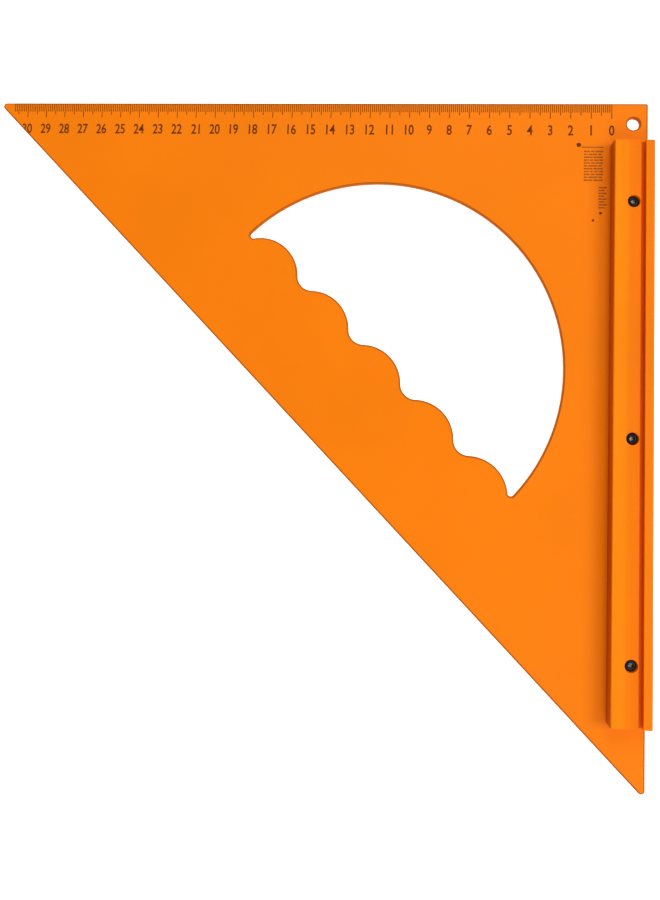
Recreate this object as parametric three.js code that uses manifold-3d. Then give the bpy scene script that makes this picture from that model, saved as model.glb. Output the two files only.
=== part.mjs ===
// Speed square: a flat 45-degree triangular blade with a large hand hole, clamped between the two rails
// of its fence by three socket screws. Nothing on it moves.
//
// Millimetres, +Z up. The square lies on the back rail of its fence, with the blade level and the scale
// side up. The drawing's zero point is the blade's right-angle corner: the scale edge runs from there
// to -X and the fence edge to -Y. At the end everything is shifted so that the origin is the middle of
// the bounding box's bottom.
import * as THREE from 'three';
import { mergeVertices } from 'three/addons/utils/BufferGeometryUtils.js';
import Module from 'manifold-3d';

const wasm = await Module();
wasm.setup();

// ---- driving dimensions -------------------------------------------------------------------------

const BLADE_ARC_SEGMENTS = 12; // half the number of straight sides in each arc of an outline
const RAIL_ARC_SEGMENTS = 3;
const ROUND_SEGMENTS = 36; // sides of a round hole or a screw
const JOINT_GAP = 0.2; // between pieces that touch on the real tool

const LEG = 334; // both legs of the blade, to the sharp corners
const BLADE_THICKNESS = 3;
const ACUTE_CORNER_RADIUS = 1.8;
const SQUARE_CORNER_RADIUS = 0.8;

const HAND_HOLE_CENTRE = 188.2; // its arc's centre, from the right-angle corner along the bisector
const HAND_HOLE_ACROSS = -1.5; // and across it, counted towards the scale
const HAND_HOLE_RADIUS = 92.4;
const HAND_HOLE_TIP_RADIUS = 1.6;
const GRIP_COUNT = 5; // finger bumps on the hand hole's long side
const GRIP_PITCH = 37.7;
const GRIP_ACROSS = -1.9; // the middle bump, counted towards the scale from the arc's centre
const GRIP_CREST = 179.3; // top of a bump, from the right-angle corner along the bisector
const GRIP_VALLEY = 187; // bottom of the hollow between two bumps
const GRIP_BUMP_RADIUS = 19.3;

const HANG_HOLE_RADIUS = 2.95;
const HANG_HOLE_X = -7.1;
const HANG_HOLE_Y = -10.4;

const RAIL_WIDTH = 19.4;
const RAIL_HEIGHT = 8.3;
const RAIL_LENGTH = 278.3;
const RAIL_TOP_Y = -21.2; // the rail's end next to the scale
const RAIL_OVERHANG = 1.2; // past the blade's fence edge
const RAIL_INNER_RADIUS = 0.7;
const RAIL_OUTER_RADIUS = 1;
const RAIL_SEAT_RADIUS = 0.3; // the two edges that lie on the blade
const GROOVE_WIDTH = 2.1;
const GROOVE_DEPTH = 3;
const GROOVE_FROM_OUTER_FACE = 4.5;
const GROOVE_EDGE_RADIUS = 0.3;

const SCREW_X = -8.9;
const SCREW_Y_FROM_RAIL_TOP = [30.5, 144.8, 249.7]; // the middle screw is 5 mm nearer the low end
const SHANK_RADIUS = 1.5; // M3
const SCREW_HOLE_RADIUS = 1.7;
const HEAD_RADIUS = 2.75;
const HEAD_HEIGHT = 1.9;
const HEAD_RIM_HEIGHT = 0.6; // straight side below the head's dome
const HEAD_TOP_RADIUS = 1.6;
const SOCKET_ACROSS_FLATS = 2;
const SOCKET_DEPTH = 1.1;
const SCREW_LENGTH = 14; // below the head
const COUNTERBORE_RADIUS = 3;
const COUNTERBORE_DEPTH = 3.2;
const TAPPED_HOLE_DEPTH = 6.5;

// ---- sizes that follow --------------------------------------------------------------------------

const BLADE_BOTTOM_Z = RAIL_HEIGHT + JOINT_GAP;
const BLADE_TOP_Z = BLADE_BOTTOM_Z + BLADE_THICKNESS;
const FRONT_RAIL_Z = BLADE_TOP_Z + JOINT_GAP;
const TOP_Z = FRONT_RAIL_Z + RAIL_HEIGHT;
const SEAT_Z = TOP_Z - COUNTERBORE_DEPTH + JOINT_GAP; // underside of a screw's head
const RAIL_INNER_X = RAIL_OVERHANG - RAIL_WIDTH;
// A rounded 45-degree corner ends short of its sharp corner, measured along a leg.
const ACUTE_CORNER_CUT = ACUTE_CORNER_RADIUS * (1 / Math.tan(Math.PI / 8) - 1);

const powderCoat = new THREE.MeshStandardMaterial({ color: 0xf97a05, roughness: 0.45, metalness: 0 });
const blackSteel = new THREE.MeshStandardMaterial({ color: 0x141414, roughness: 0.35, metalness: 0.8 });

// ---- shapes -------------------------------------------------------------------------------------

// A closed outline through corners [x, y, radius], counterclockwise, each corner rounded by an arc.
function roundedOutline(corners) {
  const outline = new THREE.Shape();
  corners.forEach(([x, y, radius], i) => {
    const corner = new THREE.Vector2(x, y);
    const [beforeX, beforeY] = corners[(i + corners.length - 1) % corners.length];
    const [afterX, afterY] = corners[(i + 1) % corners.length];
    const back = new THREE.Vector2(beforeX, beforeY).sub(corner).normalize();
    const ahead = new THREE.Vector2(afterX, afterY).sub(corner).normalize();
    const halfAngle = Math.acos(back.dot(ahead)) / 2;
    const turnsLeft = back.cross(ahead) < 0;
    const middle = back.clone().add(ahead).normalize();
    const centre = corner.clone().addScaledVector(middle, radius / Math.sin(halfAngle));
    const away = turnsLeft ? -Math.PI / 2 : Math.PI / 2;
    const start = back.angle() + Math.PI + away;
    const end = ahead.angle() + away;
    outline.absarc(centre.x, centre.y, radius, start, end, !turnsLeft);
  });
  outline.closePath();
  return outline;
}

// Where two circles meet, on the right-hand side of the line from the first centre to the second.
function circlesMeet(first, firstRadius, second, secondRadius) {
  const between = second.clone().sub(first);
  const distance = between.length();
  const along = (firstRadius ** 2 - secondRadius ** 2 + distance ** 2) / (2 * distance);
  const aside = Math.sqrt(firstRadius ** 2 - along ** 2);
  const direction = between.normalize();
  const right = new THREE.Vector2(direction.y, -direction.x);
  return first.clone().addScaledVector(direction, along).addScaledVector(right, aside);
}

// The hand hole, with y along the blade's bisector from its right-angle corner, and x across it from
// the arc's centre.
function handHoleOutline() {
  const outline = new THREE.Shape();
  const centre = new THREE.Vector2(0, HAND_HOLE_CENTRE);
  const halfPitch = GRIP_PITCH / 2;
  const depth = GRIP_VALLEY - GRIP_CREST;
  const radiusSum = (halfPitch ** 2 + depth ** 2) / (2 * depth); // bumps and hollows run into each other
  const valleyRadius = radiusSum - GRIP_BUMP_RADIUS;
  const swing = Math.asin(halfPitch / radiusSum);
  const outermost = (GRIP_COUNT - 1) / 2;

  const bumpY = GRIP_CREST + GRIP_BUMP_RADIUS;

  // The rounded tip where the arc meets the last bump on one side, 1 or -1, drawn as if on the right.
  function tipOn(side) {
    const bump = new THREE.Vector2(outermost * GRIP_PITCH + side * GRIP_ACROSS, bumpY);
    const tip = circlesMeet(
      centre, HAND_HOLE_RADIUS - HAND_HOLE_TIP_RADIUS,
      bump, GRIP_BUMP_RADIUS + HAND_HOLE_TIP_RADIUS,
    );
    const start = tip.clone().sub(centre).angle();
    const end = bump.clone().sub(tip).angle();
    const bumpEnd = tip.clone().sub(bump).angle();
    return { x: tip.x, y: tip.y, start, end, bumpEnd };
  }
  const right = tipOn(1);
  const left = tipOn(-1);

  outline.absarc(right.x, right.y, HAND_HOLE_TIP_RADIUS, right.start, right.end, false);
  for (let i = outermost; i >= -outermost; i -= 1) {
    const bumpX = i * GRIP_PITCH + GRIP_ACROSS;
    const start = i === outermost ? right.bumpEnd : -Math.PI / 2 + swing;
    const end = i === -outermost ? Math.PI - left.bumpEnd : -Math.PI / 2 - swing;
    outline.absarc(bumpX, bumpY, GRIP_BUMP_RADIUS, start, end, true);
    if (i > -outermost) {
      const valleyX = bumpX - halfPitch;
      const valleyY = GRIP_VALLEY - valleyRadius;
      outline.absarc(valleyX, valleyY, valleyRadius, Math.PI / 2 - swing, Math.PI / 2 + swing, false);
    }
  }
  outline.absarc(-left.x, left.y, HAND_HOLE_TIP_RADIUS, Math.PI - left.end, Math.PI - left.start, false);
  const bottom = 1.5 * Math.PI;
  outline.absarc(centre.x, centre.y, HAND_HOLE_RADIUS, Math.PI - left.start, bottom, false);
  outline.absarc(centre.x, centre.y, HAND_HOLE_RADIUS, bottom, right.start + 2 * Math.PI, false);
  outline.closePath();
  return outline;
}

function extrude(outline, depth, curveSegments) {
  return new THREE.ExtrudeGeometry(outline, { depth, curveSegments, bevelEnabled: false });
}

// An upright round bar from z = low to z = high, used for every hole.
function roundBar(radius, x, y, low, high) {
  const bar = new THREE.CylinderGeometry(radius, radius, high - low, ROUND_SEGMENTS);
  return bar.rotateX(Math.PI / 2).translate(x, y, (low + high) / 2);
}

// ---- solids -------------------------------------------------------------------------------------

function toSolid(geometry) {
  const bare = geometry.clone();
  bare.deleteAttribute('normal');
  bare.deleteAttribute('uv');
  const merged = mergeVertices(bare, 1e-4);
  const vertProperties = new Float32Array(merged.attributes.position.array);
  const triVerts = new Uint32Array(merged.index.array);
  return new wasm.Manifold(new wasm.Mesh({ numProp: 3, vertProperties, triVerts }));
}

function toGeometry(solid) {
  const mesh = solid.getMesh();
  const geometry = new THREE.BufferGeometry();
  geometry.setAttribute('position', new THREE.BufferAttribute(mesh.vertProperties, 3));
  geometry.setIndex(new THREE.BufferAttribute(mesh.triVerts, 1));
  geometry.computeVertexNormals();
  return geometry;
}

// The body with every cutter taken away.
function cut(body, cutters) {
  const solid = cutters.reduce((rest, cutter) => rest.subtract(toSolid(cutter)), toSolid(body));
  return toGeometry(solid);
}

// ---- pieces -------------------------------------------------------------------------------------

const screwPlaces = SCREW_Y_FROM_RAIL_TOP.map((y) => new THREE.Vector2(SCREW_X, RAIL_TOP_Y - y));

function bladeGeometry() {
  const outline = roundedOutline([
    [0, 0, SQUARE_CORNER_RADIUS],
    [-LEG, 0, ACUTE_CORNER_RADIUS],
    [0, -LEG, ACUTE_CORNER_RADIUS],
  ]);
  const plate = extrude(outline, BLADE_THICKNESS, BLADE_ARC_SEGMENTS).translate(0, 0, BLADE_BOTTOM_Z);
  const low = BLADE_BOTTOM_Z - 1;
  const high = BLADE_TOP_Z + 1;
  const towardsHypotenuse = (3 / 4) * Math.PI;
  const handHole = extrude(handHoleOutline(), high - low, BLADE_ARC_SEGMENTS);
  handHole.translate(HAND_HOLE_ACROSS, 0, low).rotateZ(towardsHypotenuse);
  const hangHole = roundBar(HANG_HOLE_RADIUS, HANG_HOLE_X, HANG_HOLE_Y, low, high);
  const screwHoles = screwPlaces.map(({ x, y }) => roundBar(SCREW_HOLE_RADIUS, x, y, low, high));
  return cut(plate, [handHole, hangHole, ...screwHoles]);
}

// A rail's bar: x from its inner face, y down the fence, z up from the face that lies on the blade.
function railBar() {
  const grooveRight = RAIL_WIDTH - GROOVE_FROM_OUTER_FACE;
  const grooveLeft = grooveRight - GROOVE_WIDTH;
  const grooveFloor = RAIL_HEIGHT - GROOVE_DEPTH;
  const section = roundedOutline([
    [0, 0, RAIL_SEAT_RADIUS],
    [RAIL_WIDTH, 0, RAIL_SEAT_RADIUS],
    [RAIL_WIDTH, RAIL_HEIGHT, RAIL_OUTER_RADIUS],
    [grooveRight, RAIL_HEIGHT, GROOVE_EDGE_RADIUS],
    [grooveRight, grooveFloor, GROOVE_EDGE_RADIUS],
    [grooveLeft, grooveFloor, GROOVE_EDGE_RADIUS],
    [grooveLeft, RAIL_HEIGHT, GROOVE_EDGE_RADIUS],
    [0, RAIL_HEIGHT, RAIL_INNER_RADIUS],
  ]);
  return extrude(section, RAIL_LENGTH, RAIL_ARC_SEGMENTS).rotateX(Math.PI / 2);
}

function frontRailGeometry() {
  const bar = railBar().translate(RAIL_INNER_X, RAIL_TOP_Y, FRONT_RAIL_Z);
  const cutters = [];
  for (const { x, y } of screwPlaces) {
    cutters.push(roundBar(SCREW_HOLE_RADIUS, x, y, FRONT_RAIL_Z - 1, TOP_Z));
    cutters.push(roundBar(COUNTERBORE_RADIUS, x, y, TOP_Z - COUNTERBORE_DEPTH, TOP_Z + 1));
  }
  return cut(bar, cutters);
}

// The same bar turned over end for end, with blind tapped holes for the screws.
function backRailGeometry() {
  const bar = railBar().rotateX(Math.PI);
  bar.translate(RAIL_INNER_X, RAIL_TOP_Y - RAIL_LENGTH, RAIL_HEIGHT);
  const low = RAIL_HEIGHT - TAPPED_HOLE_DEPTH;
  return cut(bar, screwPlaces.map(({ x, y }) => roundBar(SCREW_HOLE_RADIUS, x, y, low, RAIL_HEIGHT + 1)));
}

// A button-head socket screw, turned about its axis, with z = 0 under the head.
function screwGeometry() {
  const profile = new THREE.Path();
  profile.moveTo(0, -SCREW_LENGTH);
  profile.lineTo(SHANK_RADIUS - 0.4, -SCREW_LENGTH);
  profile.lineTo(SHANK_RADIUS, -SCREW_LENGTH + 0.4);
  profile.lineTo(SHANK_RADIUS, 0);
  profile.lineTo(HEAD_RADIUS, 0);
  profile.lineTo(HEAD_RADIUS, HEAD_RIM_HEIGHT);
  profile.quadraticCurveTo(HEAD_RADIUS - 0.1, HEAD_HEIGHT, HEAD_TOP_RADIUS, HEAD_HEIGHT);
  profile.lineTo(0, HEAD_HEIGHT);
  const points = profile.getPoints(6);
  const body = new THREE.LatheGeometry(points, ROUND_SEGMENTS).rotateX(Math.PI / 2);
  const cornerRadius = SOCKET_ACROSS_FLATS / 2 / Math.cos(Math.PI / 6);
  const socket = new THREE.CylinderGeometry(cornerRadius, cornerRadius, 2 * SOCKET_DEPTH, 6);
  socket.rotateX(Math.PI / 2).translate(0, 0, HEAD_HEIGHT);
  return cut(body, [socket]);
}

// ---- the square ---------------------------------------------------------------------------------

function piece(name, geometry, material) {
  const mesh = new THREE.Mesh(geometry, material);
  mesh.name = name;
  return mesh;
}

const square = new THREE.Group();
square.add(piece('blade', bladeGeometry(), powderCoat));
square.add(piece('fence_front_rail', frontRailGeometry(), powderCoat));
square.add(piece('fence_back_rail', backRailGeometry(), powderCoat));
screwPlaces.forEach(({ x, y }, i) => {
  const screw = piece(`fence_screw_${i + 1}`, screwGeometry(), blackSteel);
  screw.position.set(x, y, SEAT_Z);
  square.add(screw);
});

const left = -(LEG - ACUTE_CORNER_CUT);
square.position.set(-(left + RAIL_OVERHANG) / 2, -left / 2, 0);

export default square;
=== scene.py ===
import math

import bmesh
import bpy
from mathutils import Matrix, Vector


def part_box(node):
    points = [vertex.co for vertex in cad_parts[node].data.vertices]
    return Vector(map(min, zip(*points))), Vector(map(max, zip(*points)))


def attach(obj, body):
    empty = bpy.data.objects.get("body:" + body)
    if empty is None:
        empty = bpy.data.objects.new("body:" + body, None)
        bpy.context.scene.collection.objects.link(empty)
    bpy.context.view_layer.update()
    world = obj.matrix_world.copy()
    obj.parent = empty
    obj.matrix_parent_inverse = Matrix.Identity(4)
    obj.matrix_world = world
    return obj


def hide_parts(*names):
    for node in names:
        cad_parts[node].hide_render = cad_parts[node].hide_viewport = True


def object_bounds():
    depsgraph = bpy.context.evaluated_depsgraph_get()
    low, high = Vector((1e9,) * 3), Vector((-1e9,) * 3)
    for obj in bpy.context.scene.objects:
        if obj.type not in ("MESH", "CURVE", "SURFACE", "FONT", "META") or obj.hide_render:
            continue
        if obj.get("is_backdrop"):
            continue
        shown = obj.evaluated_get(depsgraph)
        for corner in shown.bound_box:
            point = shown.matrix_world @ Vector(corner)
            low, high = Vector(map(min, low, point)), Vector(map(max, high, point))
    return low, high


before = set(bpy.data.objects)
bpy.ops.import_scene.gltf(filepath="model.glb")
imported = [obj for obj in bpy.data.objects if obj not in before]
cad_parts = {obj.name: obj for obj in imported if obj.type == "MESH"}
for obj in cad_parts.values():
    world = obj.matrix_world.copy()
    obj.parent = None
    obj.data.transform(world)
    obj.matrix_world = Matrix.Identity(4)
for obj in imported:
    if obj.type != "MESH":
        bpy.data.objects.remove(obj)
cad_low, cad_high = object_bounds()

# The looks of a speed square: a powder-coated triangular blade with a printed centimetre scale, held
# between the two rails of its fence by three black socket screws. Lengths below are in millimetres
# and become metres in the builders. Plan positions are measured from the blade's right-angle corner,
# with x out of the fence edge and y out of the scale edge, so every place on the blade is negative.
MM = 0.001
SAME_PLACE = 1e-7  # metres; closer vertices are one

# ---- sizes --------------------------------------------------------------------------------------

blade_low, blade_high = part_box("blade")
CORNER_X = blade_high.x / MM
CORNER_Y = blade_high.y / MM
BLADE_BOTTOM = blade_low.z / MM
BLADE_TOP = blade_high.z / MM

ACUTE_CORNER_RADIUS = 1.8
SQUARE_CORNER_RADIUS = 0.8
ACUTE_CORNER_CUT = ACUTE_CORNER_RADIUS * (1 / math.tan(math.radians(22.5)) - 1)
LEG = (blade_high.x - blade_low.x) / MM + ACUTE_CORNER_CUT
BLADE_EDGE_ROUNDING = 0.85

HAND_HOLE_CENTRE = 188.2  # its arc's centre, from the right-angle corner along the bisector
HAND_HOLE_ACROSS = -1.5  # and across it, counted towards the scale
HAND_HOLE_RADIUS = 92.4
HAND_HOLE_TIP_RADIUS = 1.6
GRIP_COUNT = 5
GRIP_PITCH = 37.7
GRIP_ACROSS = -1.9  # the middle bump, counted towards the scale from the arc's centre
GRIP_CREST = 179.3
GRIP_VALLEY = 187.0
GRIP_BUMP_RADIUS = 19.3
HANG_HOLE = (-7.1, -10.4)
HANG_HOLE_RADIUS = 2.95

rail_low, rail_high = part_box("fence_front_rail")
back_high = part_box("fence_back_rail")[1]
RAIL_INNER_X = rail_low.x / MM - CORNER_X
RAIL_TOP_Y = rail_high.y / MM - CORNER_Y
RAIL_LENGTH = (rail_high.y - rail_low.y) / MM
RAIL_WIDTH = (rail_high.x - rail_low.x) / MM
RAIL_HEIGHT = (rail_high.z - rail_low.z) / MM
RAIL_INNER_RADIUS = 0.7
RAIL_OUTER_RADIUS = 1.0
RAIL_SEAT_RADIUS = 0.3
RAIL_END_ROUNDING = 0.25
GROOVE_WIDTH = 2.1
GROOVE_DEPTH = 3.0
GROOVE_FROM_OUTER_FACE = 4.5
GROOVE_EDGE_RADIUS = 0.3
COUNTERBORE_RADIUS = 3.0
COUNTERBORE_DEPTH = 3.2
COUNTERBORE_CHAMFER = 0.12
SCREW_HOLE_RADIUS = 1.7
TAPPED_HOLE_DEPTH = 6.5

SCALE_ZERO = -17.7  # beside the fence's inner face; it counts towards the acute corner
SCALE_LENGTH = 307  # to where the ticks meet the sloping edge
TICK_START = 0.6  # from the scale edge
TICK_LENGTHS = {10: 7.8, 5: 6.2, 1: 4.7}
TICK_WIDTH = 0.36
NUMBER_MIDDLE = 13.8  # from the scale edge
NUMBER_HEIGHT = 5.2
NUMBER_CONDENSING = 0.78  # how much narrower the digits are than the typeface
DIGIT_BOLDNESS = 0.016  # how far the outlines are moved out, for a typeface of size 1
SLOPING_EDGE_MARGIN = 1.2  # along the scale edge, where the printing stops before the hypotenuse
INK_THICKNESS = 0.03

# The small print beside the fence. Its rows are counted away from the scale edge.
NOTES_LEFT = -31.0
NOTE_ROWS = 11
NOTES_START = 24.2
NOTE_ROW_PITCH = 1.45
NOTE_LINE_HEIGHT = 0.7
NOTE_WORDS = [  # the unreadable words of a line, from the left margin
    [(0.0, 2.9), (3.4, 5.2), (5.7, 9.3)],
    [(0.0, 1.8), (2.3, 6.4), (6.9, 8.6)],
    [(0.0, 4.1), (4.6, 9.1)],
    [(0.0, 2.4), (2.9, 4.4), (4.9, 7.0), (7.5, 9.4)],
]
LOWER_NOTE_ROWS = 8
LOWER_NOTES_START = 42.4
NOTE_DOTS = [(-2.6, 21.2, 1.1), (8.2, 55.6, 0.7), (4.6, 59.3, 0.6)]  # x, from the edge, radius

screws = []
for screw_name in sorted(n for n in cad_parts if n.startswith("fence_screw")):
    low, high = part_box(screw_name)
    middle = (low + high) / 2 / MM
    screws.append((middle.x - CORNER_X, middle.y - CORNER_Y, low.z / MM, high.z / MM))


# ---- materials ----------------------------------------------------------------------------------


def shader(name):
    """A new node material, its node tree, its Principled shader and its object coordinates."""
    material = bpy.data.materials.new(name)
    material.use_nodes = True
    tree = material.node_tree
    principled = tree.nodes["Principled BSDF"]
    coordinates = tree.nodes.new("ShaderNodeTexCoord").outputs["Object"]
    return material, tree, principled, coordinates


def noise(tree, coordinates, size, detail=2.0, roughness=0.5):
    """Noise whose features are about size millimetres across."""
    node = tree.nodes.new("ShaderNodeTexNoise")
    node.inputs["Scale"].default_value = 1 / (size * MM)
    node.inputs["Detail"].default_value = detail
    node.inputs["Roughness"].default_value = roughness
    tree.links.new(coordinates, node.inputs["Vector"])
    return node.outputs["Fac"]


def ramp(tree, factor, stops):
    """A colour ramp through (position, colour) stops; a plain number is a grey."""
    node = tree.nodes.new("ShaderNodeValToRGB")
    elements = node.color_ramp.elements
    while len(elements) < len(stops):
        elements.new(0.5)
    for element, (position, colour) in zip(elements, stops):
        element.position = position
        element.color = (colour,) * 3 + (1,) if isinstance(colour, float) else (*colour, 1)
    tree.links.new(factor, node.inputs["Fac"])
    return node.outputs["Color"]


def bump(tree, height, depth, strength, before=None):
    """A bump depth millimetres high, laid over the one before it."""
    node = tree.nodes.new("ShaderNodeBump")
    node.inputs["Distance"].default_value = depth * MM
    node.inputs["Strength"].default_value = strength
    tree.links.new(height, node.inputs["Height"])
    if before is not None:
        tree.links.new(before, node.inputs["Normal"])
    return node.outputs["Normal"]


def squash(tree, coordinates, scales):
    """The coordinates with x, y and z scaled."""
    node = tree.nodes.new("ShaderNodeMapping")
    node.inputs["Scale"].default_value = scales
    tree.links.new(coordinates, node.inputs["Vector"])
    return node.outputs["Vector"]


def across(tree, coordinates, low, high):
    """Rises from 0 at x = low to 1 at x = high, in metres."""
    split = tree.nodes.new("ShaderNodeSeparateXYZ")
    tree.links.new(coordinates, split.inputs["Vector"])
    node = tree.nodes.new("ShaderNodeMapRange")
    node.inputs["From Min"].default_value = low
    node.inputs["From Max"].default_value = high
    tree.links.new(split.outputs["X"], node.inputs["Value"])
    return node.outputs["Result"]


def multiply(tree, first, second):
    node = tree.nodes.new("ShaderNodeMix")
    node.data_type = "RGBA"
    node.blend_type = "MULTIPLY"
    node.inputs["Factor"].default_value = 1
    first_colour, second_colour = [i for i in node.inputs if i.type == "RGBA"]
    tree.links.new(first, first_colour)
    tree.links.new(second, second_colour)
    return next(o for o in node.outputs if o.type == "RGBA")


def shade(colour, amount):
    return tuple(min(1.0, c * amount) for c in colour)


def powder_coat(name, colour, gloss=0.4, grain_and_painted_light_along=None):
    """Orange powder coat: a fine orange peel, slow colour drift and a slightly uneven gloss.

    Given a rail's two sides, it adds the look of a drawn bar, faint long streaks, and painted light
    across the bar's width: painted shade on its inner face, one paler band beside its edge that is
    brightest at the edge as a painted highlight, and redder towards the groove.
    """
    material, tree, principled, coordinates = shader(name)
    drift = noise(tree, coordinates, size=70, detail=3)
    tint = ramp(tree, drift, [(0.3, shade(colour, 0.965)), (0.7, shade(colour, 1.03))])
    if grain_and_painted_light_along:
        stretched = squash(tree, coordinates, (1, 0.01, 1))
        streaks = noise(tree, stretched, size=2.4, detail=3)
        tint = multiply(tree, tint, ramp(tree, streaks, [(0.3, 0.93), (0.7, 1.0)]))
        # Painted shade on the rail's inner face and a painted highlight beside its inner edge,
        # across the rail's width.
        tint = multiply(tree, tint, ramp(tree, across(tree, coordinates, *grain_and_painted_light_along), RAIL_PAINTED_LIGHT_BANDS))
    tree.links.new(tint, principled.inputs["Base Color"])
    cloud = noise(tree, coordinates, size=9, detail=4)
    rough = ramp(tree, cloud, [(0.3, gloss - 0.04), (0.7, gloss + 0.05)])
    tree.links.new(rough, principled.inputs["Roughness"])
    peel = noise(tree, coordinates, size=1.3, detail=1)
    grain = noise(tree, coordinates, size=0.3, detail=2)
    waves = bump(tree, peel, depth=0.05, strength=0.35)
    normal = bump(tree, grain, depth=0.012, strength=0.4, before=waves)
    tree.links.new(normal, principled.inputs["Normal"])
    principled.inputs["Specular IOR Level"].default_value = 0.12
    return material


def black_oxide(name):
    """Black oxide on steel: nearly black, lightly oiled, with a faint brown bloom."""
    material, tree, principled, coordinates = shader(name)
    patches = noise(tree, coordinates, size=1.1, detail=4)
    tint = ramp(tree, patches, [(0.35, (0.002, 0.002, 0.002)), (0.75, (0.009, 0.006, 0.005))])
    tree.links.new(tint, principled.inputs["Base Color"])
    rough = ramp(tree, patches, [(0.3, 0.3), (0.7, 0.42)])
    tree.links.new(rough, principled.inputs["Roughness"])
    grain = noise(tree, coordinates, size=0.12, detail=2)
    normal = bump(tree, grain, depth=0.01, strength=0.4)
    tree.links.new(normal, principled.inputs["Normal"])
    principled.inputs["Specular IOR Level"].default_value = 0.25
    return material


def bare_steel(name):
    """Steel that a hex key has rubbed bright, made brighter than the black head as a painted
    highlight for the glint in the socket.
    """
    material, tree, principled, coordinates = shader(name)
    scuffs = noise(tree, coordinates, size=0.5, detail=4)
    tint = ramp(tree, scuffs, [(0.35, (0.1, 0.09, 0.085)), (0.7, (0.36, 0.34, 0.33))])
    tree.links.new(tint, principled.inputs["Base Color"])
    rough = ramp(tree, scuffs, [(0.3, 0.42), (0.7, 0.28)])
    tree.links.new(rough, principled.inputs["Roughness"])
    normal = bump(tree, scuffs, depth=0.02, strength=0.5)
    tree.links.new(normal, principled.inputs["Normal"])
    principled.inputs["Metallic"].default_value = 1
    return material


def ink(name, colour):
    """Screen-printed ink: matt, with small thin spots."""
    material, tree, principled, coordinates = shader(name)
    spots = noise(tree, coordinates, size=0.5, detail=3)
    tint = ramp(tree, spots, [(0.3, shade(colour, 0.8)), (0.75, shade(colour, 1.5))])
    tree.links.new(tint, principled.inputs["Base Color"])
    rough = ramp(tree, spots, [(0.3, 0.55), (0.7, 0.68)])
    tree.links.new(rough, principled.inputs["Roughness"])
    principled.inputs["Specular IOR Level"].default_value = 0.1
    return material


ORANGE = (0.95, 0.212, 0.0)
# Painted light and shade over the width of a rail, from its inner face: painted shade on the inner
# face, which is the darkest; a yellower band brightest at the inner edge as a painted highlight;
# then redder towards the groove.
RAIL_PAINTED_LIGHT_BANDS = [
    (0.0, (0.62, 0.44, 1.0)),
    (0.03, (1.0, 1.2, 1.0)),
    (0.3, (1.0, 1.12, 1.0)),
    (0.36, (0.99, 0.98, 1.0)),
    (0.66, (0.97, 0.84, 1.0)),
    (0.8, (0.98, 0.98, 1.0)),
]
blade_coat = powder_coat("blade_coat", ORANGE)
# Painted shade: a half-bright copy of the orange on the blade's rounded edges, for the dark outline
# along them.
blade_edge_painted_shade = powder_coat("blade_edge_painted_shade", shade(ORANGE, 0.5), gloss=0.5)
rail_sides = (rail_low.x, rail_high.x)
# The fence coat carries painted light: painted shade on the rails' inner faces and a painted
# highlight beside their inner edges.
fence_coat = powder_coat("fence_coat", shade(ORANGE, 1.02), gloss=0.34, grain_and_painted_light_along=rail_sides)
# Painted shade: a darker, redder orange on the groove's walls and floor, for the shade down in it.
groove_painted_shade = powder_coat("groove_painted_shade", (0.74, 0.11, 0.0), gloss=0.5)
black_steel = black_oxide("black_steel")
worn_steel_and_glint = bare_steel("worn_steel_and_glint")
scale_ink = ink("scale_ink", (0.15, 0.034, 0.002))
faint_ink = ink("faint_ink", (0.42, 0.11, 0.01))


# ---- outlines -----------------------------------------------------------------------------------
# An outline is a closed list of (x, y, normal x, normal y). It is walked with the material on its
# left, and each normal points to the right, out of the material.


def arc(x, y, radius, start, end, steps):
    """The points of an arc, with angles in degrees."""
    side = 1 if end > start else -1
    points = []
    for i in range(steps + 1):
        angle = math.radians(start + (end - start) * i / steps)
        along, up = math.cos(angle), math.sin(angle)
        points.append((x + radius * along, y + radius * up, side * along, side * up))
    return points


def heading(vector):
    return math.degrees(math.atan2(vector.y, vector.x))


def rounded(corners, steps):
    """An outline through (x, y, radius) corners, counterclockwise, with steps + 1 points in each."""
    outline = []
    for i, (x, y, radius) in enumerate(corners):
        corner = Vector((x, y))
        back = (Vector(corners[i - 1][:2]) - corner).normalized()
        ahead = (Vector(corners[(i + 1) % len(corners)][:2]) - corner).normalized()
        half = back.angle(ahead) / 2
        turn = 1 if back.cross(ahead) < 0 else -1
        centre = corner + (back + ahead).normalized() * (radius / math.sin(half))
        start = heading(-back) - 90 * turn
        sweep = turn * (180 - 2 * math.degrees(half))
        outline += arc(centre.x, centre.y, radius, start, start + sweep, steps)
    return outline


def round_hole(x, y, radius, steps):
    return arc(x, y, radius, 360, 0, steps)[:-1]


def circles_meet(first, first_radius, second, second_radius):
    """Where two circles meet, to the right of the line from the first centre to the second."""
    between = second - first
    distance = between.length
    along = (first_radius**2 - second_radius**2 + distance**2) / (2 * distance)
    aside = math.sqrt(first_radius**2 - along**2)
    direction = between.normalized()
    return first + direction * along + Vector((direction.y, -direction.x)) * aside


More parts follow.
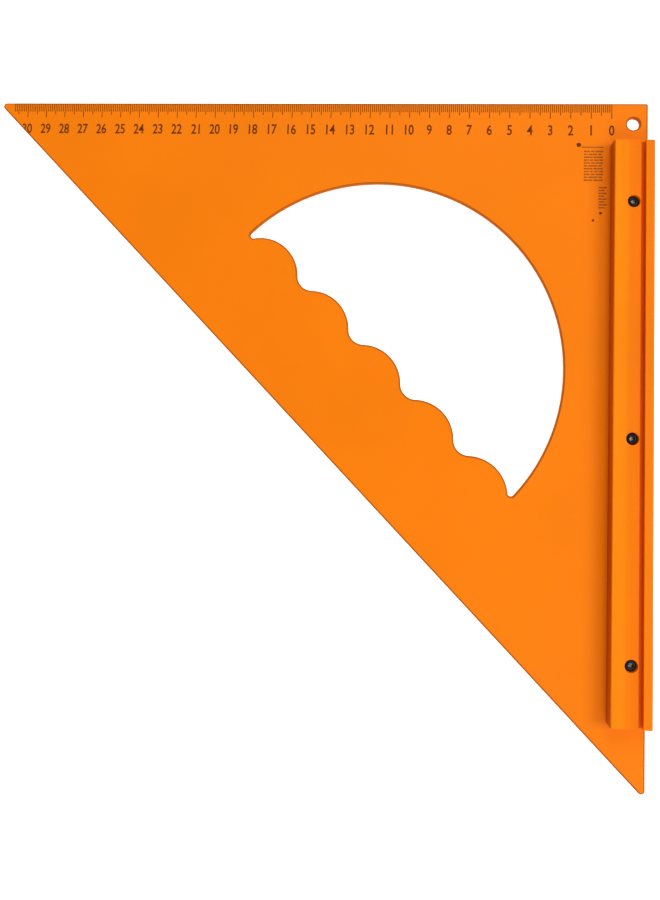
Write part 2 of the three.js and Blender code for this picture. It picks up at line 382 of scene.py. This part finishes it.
def hand_hole():
    """The hand hole: nearly half a disc, with five finger bumps on its straight side."""
    half_pitch = GRIP_PITCH / 2
    depth = GRIP_VALLEY - GRIP_CREST
    radius_sum = (half_pitch**2 + depth**2) / (2 * depth)
    valley_radius = radius_sum - GRIP_BUMP_RADIUS
    swing = math.degrees(math.asin(half_pitch / radius_sum))
    outermost = (GRIP_COUNT - 1) / 2
    centre = Vector((0, HAND_HOLE_CENTRE))
    bump_y = GRIP_CREST + GRIP_BUMP_RADIUS

    def tip_on(side):
        """The tip where the arc meets the last bump on one side, drawn as if on the right."""
        last_bump = Vector((outermost * GRIP_PITCH + side * GRIP_ACROSS, bump_y))
        tip = circles_meet(
            centre, HAND_HOLE_RADIUS - HAND_HOLE_TIP_RADIUS,
            last_bump, GRIP_BUMP_RADIUS + HAND_HOLE_TIP_RADIUS,
        )
        return tip, heading(tip - centre), heading(last_bump - tip), heading(tip - last_bump)

    tip, tip_start, tip_end, first_bump_end = tip_on(1)
    walk = arc(tip.x, tip.y, HAND_HOLE_TIP_RADIUS, tip_start, tip_end, 12)
    far_tip, far_start, far_end, last_bump_end = tip_on(-1)
    for i in range(GRIP_COUNT):
        x = (outermost - i) * GRIP_PITCH + GRIP_ACROSS
        start = first_bump_end if i == 0 else swing - 90
        end = -180 - last_bump_end if i == GRIP_COUNT - 1 else -swing - 90
        walk += arc(x, bump_y, GRIP_BUMP_RADIUS, start, end, 28)
        if i < GRIP_COUNT - 1:
            valley = (x - half_pitch, GRIP_VALLEY - valley_radius)
            walk += arc(*valley, valley_radius, 90 - swing, 90 + swing, 24)
    walk += arc(-far_tip.x, far_tip.y, HAND_HOLE_TIP_RADIUS, 180 - far_end, 180 - far_start, 12)
    walk += arc(*centre, HAND_HOLE_RADIUS, 180 - far_start, 360 + tip_start, 140)
    walk = [(x + HAND_HOLE_ACROSS, y, u, v) for x, y, u, v in walk]

    # Turned so that its y runs from the right-angle corner towards the hypotenuse, and walked the
    # other way round, because the material is outside it.
    c, s = math.cos(math.radians(135)), math.sin(math.radians(135))
    turned = [(c * x - s * y, s * x + c * y, s * v - c * u, -s * u - c * v) for x, y, u, v in walk]
    return without_repeats(turned[::-1])


def without_repeats(outline):
    kept = []
    for i, point in enumerate(outline):
        if math.dist(point[:2], outline[i - 1][:2]) > 1e-4:
            kept.append(point)
    return kept


# ---- mesh builders ------------------------------------------------------------------------------


def plan_vertex(bm, x, y, z):
    """A vertex at a plan position from the right-angle corner, z above the floor."""
    return bm.verts.new(((x + CORNER_X) * MM, (y + CORNER_Y) * MM, z * MM))


def bridge(bm, first, second, material=0):
    """Quads between two closed rings of equally many vertices."""
    for i in range(len(first)):
        j = (i + 1) % len(first)
        face = bm.faces.new((first[i], first[j], second[j], second[i]))
        face.material_index = material


def ring_edges(bm, ring):
    edges = []
    for i in range(len(ring)):
        pair = (ring[i - 1], ring[i])
        edges.append(bm.edges.get(pair) or bm.edges.new(pair))
    return edges


def fill(bm, rings, normal, material=0):
    """A flat face bounded by rings: the first is its outside and the others are holes in it."""
    edges = [edge for ring in rings for edge in ring_edges(bm, ring)]
    made = bmesh.ops.triangle_fill(bm, use_beauty=True, edges=edges, normal=normal)
    for item in made["geom"]:
        if isinstance(item, bmesh.types.BMFace):
            item.material_index = material


def rounding(radius, steps):
    """(inset, drop) pairs down a rounded edge, from the face to the wall."""
    pairs = []
    for i in range(steps + 1):
        angle = math.pi / 2 * i / steps
        pairs.append((radius * (1 - math.sin(angle)), radius * (1 - math.cos(angle))))
    return pairs


def finish_piece(bm, name, materials, node=None):
    """Turns a bmesh into a shown piece that rides on the square."""
    bmesh.ops.recalc_face_normals(bm, faces=bm.faces)
    mesh = bpy.data.meshes.new(name)
    bm.to_mesh(mesh)
    bm.free()
    mesh.shade_smooth()
    for material in materials:
        mesh.materials.append(material)
    piece = bpy.data.objects.new(name, mesh)
    bpy.context.scene.collection.objects.link(piece)
    if node:
        weighted = piece.modifiers.new("face_weighted_normals", "WEIGHTED_NORMAL")
        weighted.weight = 100
        weighted.keep_sharp = True
        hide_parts(node)
    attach(piece, "root")
    return piece


# ---- blade --------------------------------------------------------------------------------------


def make_blade():
    bm = bmesh.new()
    corners = [
        (0, 0, SQUARE_CORNER_RADIUS),
        (-LEG, 0, ACUTE_CORNER_RADIUS),
        (0, -LEG, ACUTE_CORNER_RADIUS),
    ]
    loops = [rounded(corners, steps=12), hand_hole(), round_hole(*HANG_HOLE, HANG_HOLE_RADIUS, 64)]
    loops += [round_hole(x, y, SCREW_HOLE_RADIUS, 48) for x, y, _, _ in screws]
    edge = rounding(BLADE_EDGE_ROUNDING, steps=5)
    levels = [(inset, BLADE_TOP - drop) for inset, drop in edge]
    levels += [(inset, BLADE_BOTTOM + drop) for inset, drop in reversed(edge)]
    tops, bottoms = [], []
    for loop in loops:
        rings = []
        for inset, z in levels:
            rings.append([plan_vertex(bm, x - inset * u, y - inset * v, z) for x, y, u, v in loop])
        for upper, lower in zip(rings, rings[1:]):
            # The rounded edges take the darker edge material, which is painted shade.
            bridge(bm, upper, lower, material=1)
        tops.append(rings[0])
        bottoms.append(rings[-1])
    fill(bm, tops, normal=(0, 0, 1))
    fill(bm, bottoms, normal=(0, 0, -1))
    return finish_piece(bm, "blade_plate", [blade_coat, blade_edge_painted_shade], "blade")


# ---- fence rails --------------------------------------------------------------------------------


def rail_section():
    """The bar's section: x from its inner face, y up from the face that lies on the blade."""
    groove_right = RAIL_WIDTH - GROOVE_FROM_OUTER_FACE
    groove_left = groove_right - GROOVE_WIDTH
    groove_floor = RAIL_HEIGHT - GROOVE_DEPTH
    return [
        (0, 0, RAIL_SEAT_RADIUS),
        (RAIL_WIDTH, 0, RAIL_SEAT_RADIUS),
        (RAIL_WIDTH, RAIL_HEIGHT, RAIL_OUTER_RADIUS),
        (groove_right, RAIL_HEIGHT, GROOVE_EDGE_RADIUS),
        (groove_right, groove_floor, GROOVE_EDGE_RADIUS),
        (groove_left, groove_floor, GROOVE_EDGE_RADIUS),
        (groove_left, RAIL_HEIGHT, GROOVE_EDGE_RADIUS),
        (0, RAIL_HEIGHT, RAIL_INNER_RADIUS),
    ]


SEAT_STRIP = 0  # the straight stretches after these corners of the section
LAND_STRIP = 6
GROOVE_CORNERS = range(4, 7)


def make_rail(name, node, seat, up, holes):
    """A rail on the blade's face at height seat, standing up (1) or hanging down (-1).

    holes are (x, y, [(radius, height above the seat), ...]), from the land down; a hole that ends
    above the seat is blind from the other side, and one that starts at the seat goes up from it.
    """
    steps = 6
    section = rounded(rail_section(), steps)
    bm = bmesh.new()

    def section_ring(inset, y):
        return [
            plan_vertex(bm, RAIL_INNER_X + x - inset * u, y, seat + up * (z - inset * v))
            for x, z, u, v in section
        ]

    far_end = RAIL_TOP_Y - RAIL_LENGTH
    edge = rounding(RAIL_END_ROUNDING, steps=3)
    rings = [section_ring(inset, RAIL_TOP_Y - drop) for inset, drop in edge]
    rings += [section_ring(inset, far_end + drop) for inset, drop in reversed(edge)]
    middle = len(edge) - 1
    for i in range(len(rings) - 1):
        if i != middle:
            bridge(bm, rings[i], rings[i + 1])
    near, far = rings[middle], rings[middle + 1]
    strips = {}
    for corner in range(len(section) // (steps + 1)):
        first = corner * (steps + 1)
        for j in range(first, first + steps + 1):
            k = (j + 1) % len(section)
            quad = (near[j], near[k], far[k], far[j])
            if j == first + steps and corner in (SEAT_STRIP, LAND_STRIP):
                strips[corner] = quad
            else:
                # Faces of the groove take the groove material, which is painted shade.
                bm.faces.new(quad).material_index = int(corner in GROOVE_CORNERS)

    openings = {SEAT_STRIP: [], LAND_STRIP: []}
    for x, y, levels in holes:
        stack = []
        for radius, height in levels:
            circle = round_hole(x, y, radius, 56)
            stack.append([plan_vertex(bm, px, py, seat + up * height) for px, py, _, _ in circle])
        for upper, lower in zip(stack, stack[1:]):
            bridge(bm, upper, lower)
        starts_on_land = levels[0][1] == RAIL_HEIGHT
        openings[LAND_STRIP if starts_on_land else SEAT_STRIP].append(stack[0])
        if starts_on_land:
            openings[SEAT_STRIP].append(stack[-1])
        else:
            fill(bm, [stack[-1]], normal=(0, 0, 1))
    for strip, quad in strips.items():
        fill(bm, [quad, *openings[strip]], normal=(0, 0, 1))
    fill(bm, [rings[0]], normal=(0, 1, 0))
    fill(bm, [rings[-1]], normal=(0, -1, 0))
    return finish_piece(bm, name, [fence_coat, groove_painted_shade], node)


def make_front_rail():
    seat_height = RAIL_HEIGHT - COUNTERBORE_DEPTH
    levels = [
        (COUNTERBORE_RADIUS + COUNTERBORE_CHAMFER, RAIL_HEIGHT),
        (COUNTERBORE_RADIUS, RAIL_HEIGHT - COUNTERBORE_CHAMFER),
        (COUNTERBORE_RADIUS, seat_height),
        (SCREW_HOLE_RADIUS, seat_height),
        (SCREW_HOLE_RADIUS, 0),
    ]
    holes = [(x, y, levels) for x, y, _, _ in screws]
    return make_rail("front_rail", "fence_front_rail", rail_low.z / MM, 1, holes)


def make_back_rail():
    levels = [(SCREW_HOLE_RADIUS, 0), (SCREW_HOLE_RADIUS, TAPPED_HOLE_DEPTH)]
    holes = [(x, y, levels) for x, y, _, _ in screws]
    return make_rail("back_rail", "fence_back_rail", back_high.z / MM, -1, holes)


# ---- screws -------------------------------------------------------------------------------------

HEAD_RADIUS = 2.75
HEAD_HEIGHT = 1.9
HEAD_RIM_HEIGHT = 0.6
HEAD_TOP_RADIUS = 1.6
SOCKET_ACROSS_FLATS = 2.0
SOCKET_DEPTH = 1.1
SHANK_RADIUS = 1.5
THREAD_DEPTH = 0.28
THREAD_PITCH = 0.5
THREAD_ROW_HEIGHT = 0.125
THREAD_RUN_OUT = 0.4
POINT_CHAMFER = 0.35
POINT_INSET = 0.45
NECK_HEIGHT = 0.3  # plain shank under the head
NECK_FILLET = 0.08
HEAD_EDGE_CHAMFER = 0.12
DOME_STEPS = 8
SOCKET_CHAMFER = 0.08
SCREW_STEPS = 60


def make_screw(number, x, y, low, high):
    """A button-head socket screw with its thread, from z = low to z = high."""
    bm = bmesh.new()
    seat = high - HEAD_HEIGHT

    def ring(z, radius_at):
        vertices = []
        for i in range(SCREW_STEPS):
            angle = 2 * math.pi * i / SCREW_STEPS
            radius = radius_at(angle, z)
            px, py = x + radius * math.cos(angle), y + radius * math.sin(angle)
            vertices.append(plan_vertex(bm, px, py, z))
        return vertices

    def circle(z, radius):
        return ring(z, lambda angle, _: radius)

    def hexagon(z, across_flats):
        sixth = math.pi / 3
        return ring(z, lambda angle, _: across_flats / 2 / math.cos(angle % sixth - sixth / 2))

    def thread(angle, z):
        turns = (z - low) / THREAD_PITCH - angle / (2 * math.pi)
        crest = abs(turns % 1 - 0.5) * 2
        below_neck = seat - 2 * NECK_HEIGHT - z
        run_out = min(1, max(0, below_neck / THREAD_RUN_OUT), (z - low) / THREAD_RUN_OUT)
        return SHANK_RADIUS - THREAD_DEPTH * crest * run_out

    rings = [circle(low, SHANK_RADIUS - POINT_INSET)]
    thread_start = low + POINT_CHAMFER
    thread_length = seat - NECK_HEIGHT - thread_start
    thread_rows = round(thread_length / THREAD_ROW_HEIGHT)
    for i in range(thread_rows + 1):
        rings.append(ring(thread_start + thread_length * i / thread_rows, thread))
    rings.append(circle(seat - NECK_FILLET, SHANK_RADIUS))
    rings.append(circle(seat, SHANK_RADIUS + NECK_FILLET))
    rings.append(circle(seat, HEAD_RADIUS - HEAD_EDGE_CHAMFER))
    rings.append(circle(seat + HEAD_EDGE_CHAMFER, HEAD_RADIUS))
    for i in range(DOME_STEPS + 1):
        angle = math.pi / 2 * i / DOME_STEPS
        reach = HEAD_RADIUS - HEAD_TOP_RADIUS
        rise = HEAD_HEIGHT - HEAD_RIM_HEIGHT
        radius = HEAD_TOP_RADIUS + reach * math.cos(angle)
        rings.append(circle(seat + HEAD_RIM_HEIGHT + rise * math.sin(angle), radius))
    corner = SOCKET_ACROSS_FLATS / 2 / math.cos(math.pi / 6)
    rings.append(circle(high, corner + SOCKET_CHAMFER))
    rings.append(hexagon(high - SOCKET_CHAMFER, SOCKET_ACROSS_FLATS))
    rings.append(hexagon(high - SOCKET_DEPTH, SOCKET_ACROSS_FLATS))
    for lower, upper in zip(rings, rings[1:]):
        bridge(bm, lower, upper)
    fill(bm, [rings[0]], normal=(0, 0, -1))
    # The socket floor takes the bright steel: rubbed by the hex key, and a painted highlight for the
    # socket's glint.
    fill(bm, [rings[-1]], normal=(0, 0, 1), material=1)
    materials = [black_steel, worn_steel_and_glint]
    name = f"socket_screw_{number}"
    return finish_piece(bm, name, materials, f"fence_screw_{number}")


# ---- printing -----------------------------------------------------------------------------------


def printed(bm, outline, material=0):
    """A thin printed area with a closed outline of plan positions."""
    low, high = BLADE_TOP - INK_THICKNESS / 2, BLADE_TOP + INK_THICKNESS
    bottom = [plan_vertex(bm, x, y, low) for x, y in outline]
    top = [plan_vertex(bm, x, y, high) for x, y in outline]
    bridge(bm, bottom, top, material)
    bm.faces.new(bottom).material_index = material
    bm.faces.new(top).material_index = material


def bar(bm, left, right, near, far):
    """A printed bar between two x and two distances from the scale edge."""
    printed(bm, [(left, -far), (right, -far), (right, -near), (left, -near)])


def dot(bm, x, from_edge, radius):
    """A printed dot in the piece's second ink."""
    circle = round_hole(x, -from_edge, radius, steps=28)
    printed(bm, [(px, py) for px, py, _, _ in circle], material=1)


def lettering(bm, text, x, y, height, condensing):
    """Printed characters centred on (x, y), height tall."""
    curve = bpy.data.curves.new("lettering", "FONT")
    curve.body = text
    curve.extrude = 0.5
    curve.offset = DIGIT_BOLDNESS
    curve.resolution_u = 6
    writer = bpy.data.objects.new("lettering", curve)
    bpy.context.scene.collection.objects.link(writer)
    evaluated = writer.evaluated_get(bpy.context.evaluated_depsgraph_get())
    mesh = bpy.data.meshes.new_from_object(evaluated)
    places = [v.co.copy() for v in mesh.vertices]
    low = Vector(min(p[i] for p in places) for i in range(3))
    high = Vector(max(p[i] for p in places) for i in range(3))
    middle, size = (low + high) / 2, high - low
    scale = height / size.y
    for vertex, place in zip(mesh.vertices, places):
        px = x + (place.x - middle.x) * scale * condensing
        py = y + (place.y - middle.y) * scale
        z = BLADE_TOP + (INK_THICKNESS if place.z > 0 else -INK_THICKNESS / 2)
        vertex.co = ((px + CORNER_X) * MM, (py + CORNER_Y) * MM, z * MM)
    bm.from_mesh(mesh)
    bmesh.ops.remove_doubles(bm, verts=bm.verts, dist=SAME_PLACE)
    bpy.data.objects.remove(writer)
    bpy.data.curves.remove(curve)
    bpy.data.meshes.remove(mesh)


def make_ticks():
    bm = bmesh.new()
    for millimetre in range(SCALE_LENGTH + 1):
        step = next(s for s in TICK_LENGTHS if millimetre % s == 0)
        x = SCALE_ZERO - millimetre
        bar(bm, x - TICK_WIDTH / 2, x + TICK_WIDTH / 2, TICK_START, TICK_LENGTHS[step])
    return finish_piece(bm, "scale_ticks", [scale_ink])


def make_numbers():
    bm = bmesh.new()
    for centimetre in range(SCALE_LENGTH // 10 + 1):
        x = SCALE_ZERO - 10 * centimetre
        lettering(bm, str(centimetre), x, -NUMBER_MIDDLE, NUMBER_HEIGHT, NUMBER_CONDENSING)
    # The last number runs off the sloping edge, so it is cut there.
    edge_point = Vector((CORNER_X - LEG + SLOPING_EDGE_MARGIN, CORNER_Y, 0)) * MM
    geometry = bm.verts[:] + bm.edges[:] + bm.faces[:]
    bmesh.ops.bisect_plane(
        bm, geom=geometry, plane_co=edge_point, plane_no=(-1, -1, 0), clear_outer=True
    )
    bmesh.ops.holes_fill(bm, edges=[e for e in bm.edges if e.is_boundary], sides=0)
    return finish_piece(bm, "scale_numbers", [scale_ink])


def make_notes():
    """The small neutral print: a dot with a rule, two blocks of short lines and two more dots."""
    bm = bmesh.new()
    for x, from_edge, radius in NOTE_DOTS:
        dot(bm, NOTES_LEFT + x, from_edge, radius)
    bar(bm, NOTES_LEFT - 1.2, NOTES_LEFT + 9.2, 22.1, 22.6)
    for row in range(NOTE_ROWS):
        near = NOTES_START + NOTE_ROW_PITCH * row
        for left, right in NOTE_WORDS[row % len(NOTE_WORDS)]:
            bar(bm, NOTES_LEFT + left, NOTES_LEFT + right, near, near + NOTE_LINE_HEIGHT)
    for row in range(LOWER_NOTE_ROWS):
        near = LOWER_NOTES_START + NOTE_ROW_PITCH * row
        bar(bm, NOTES_LEFT + 7.2, NOTES_LEFT + 11 - row % 2, near, near + NOTE_LINE_HEIGHT)
    return finish_piece(bm, "printed_notes", [faint_ink, scale_ink])


# ---- the square ---------------------------------------------------------------------------------

make_blade()
make_front_rail()
make_back_rail()
for i, screw in enumerate(screws):
    make_screw(i + 1, *screw)
make_ticks()
make_numbers()
make_notes()

# ---- floor, light and camera --------------------------------------------------------------------


FLOOR_REACH = 12.0  # metres
FLOOR_GAP = 0.0002  # below the square, so that the two faces don't flicker
FLOOR_GLOW = 0.9  # makes the floor as white as a lit studio table
LAMP_SIZE = 1.2
WORLD_STRENGTH = 0.4


def make_floor():
    mesh = bpy.data.meshes.new("floor")
    reach, height = FLOOR_REACH, cad_low.z - FLOOR_GAP
    corners = [(-reach, -reach), (reach, -reach), (reach, reach), (-reach, reach)]
    mesh.from_pydata([(x, y, height) for x, y in corners], [], [(0, 1, 2, 3)])
    material, tree, principled, coordinates = shader("pale_floor")
    mottle = noise(tree, coordinates, size=400, detail=2)
    tint = ramp(tree, mottle, [(0.3, (0.86, 0.86, 0.86)), (0.7, (0.9, 0.9, 0.9))])
    tree.links.new(tint, principled.inputs["Base Color"])
    principled.inputs["Roughness"].default_value = 0.8
    principled.inputs["Specular IOR Level"].default_value = 0.2
    principled.inputs["Emission Color"].default_value = (1, 1, 1, 1)
    principled.inputs["Emission Strength"].default_value = FLOOR_GLOW
    mesh.materials.append(material)
    floor = bpy.data.objects.new("floor", mesh)
    bpy.context.scene.collection.objects.link(floor)
    floor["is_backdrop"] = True


def softbox(name, place, power):
    """A square area light, in metres and watts, aimed at the middle of the square."""
    light = bpy.data.lights.new(name, "AREA")
    light.shape = "RECTANGLE"
    light.size = light.size_y = LAMP_SIZE
    light.energy = power
    lamp = bpy.data.objects.new(name, light)
    lamp.location = place
    lamp.rotation_mode = "QUATERNION"
    lamp.rotation_quaternion = (-Vector(place)).to_track_quat("-Z", "Y")
    bpy.context.scene.collection.objects.link(lamp)


def light_the_scene():
    # All three stand outside what the blade mirrors to the camera, so no glare lies on its orange.
    softbox("softbox_right", (1.8, 0.1, 1.9), 24)
    softbox("softbox_low", (0.3, -2.0, 1.9), 26)
    softbox("softbox_high", (0.3, 2.0, 1.9), 18)
    world = bpy.data.worlds.new("studio")
    world.use_nodes = True
    background = world.node_tree.nodes["Background"]
    background.inputs["Color"].default_value = (1, 1, 1, 1)
    background.inputs["Strength"].default_value = WORLD_STRENGTH
    bpy.context.scene.world = world
    bpy.context.scene.view_settings.view_transform = "Standard"


CAMERA_PLACE = (46.3, -2.1, 430.5)  # from the middle of the square, above the floor
CAMERA_TURN = (4.516, 4.602, 1.914)  # degrees about x, y and z, from looking straight down
CAMERA_LENS = 33.84
CAMERA_SHIFT = (-0.0006, -0.091)


def place_camera():
    camera = bpy.data.cameras.new("camera")
    camera.sensor_width = 36
    camera.lens = CAMERA_LENS
    camera.shift_x, camera.shift_y = CAMERA_SHIFT
    camera.clip_start = 0.01
    holder = bpy.data.objects.new("camera", camera)
    holder.location = Vector(CAMERA_PLACE) * MM
    holder.rotation_euler = [math.radians(angle) for angle in CAMERA_TURN]
    bpy.context.scene.collection.objects.link(holder)
    bpy.context.scene.camera = holder


make_floor()
light_the_scene()
place_camera()

low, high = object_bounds()
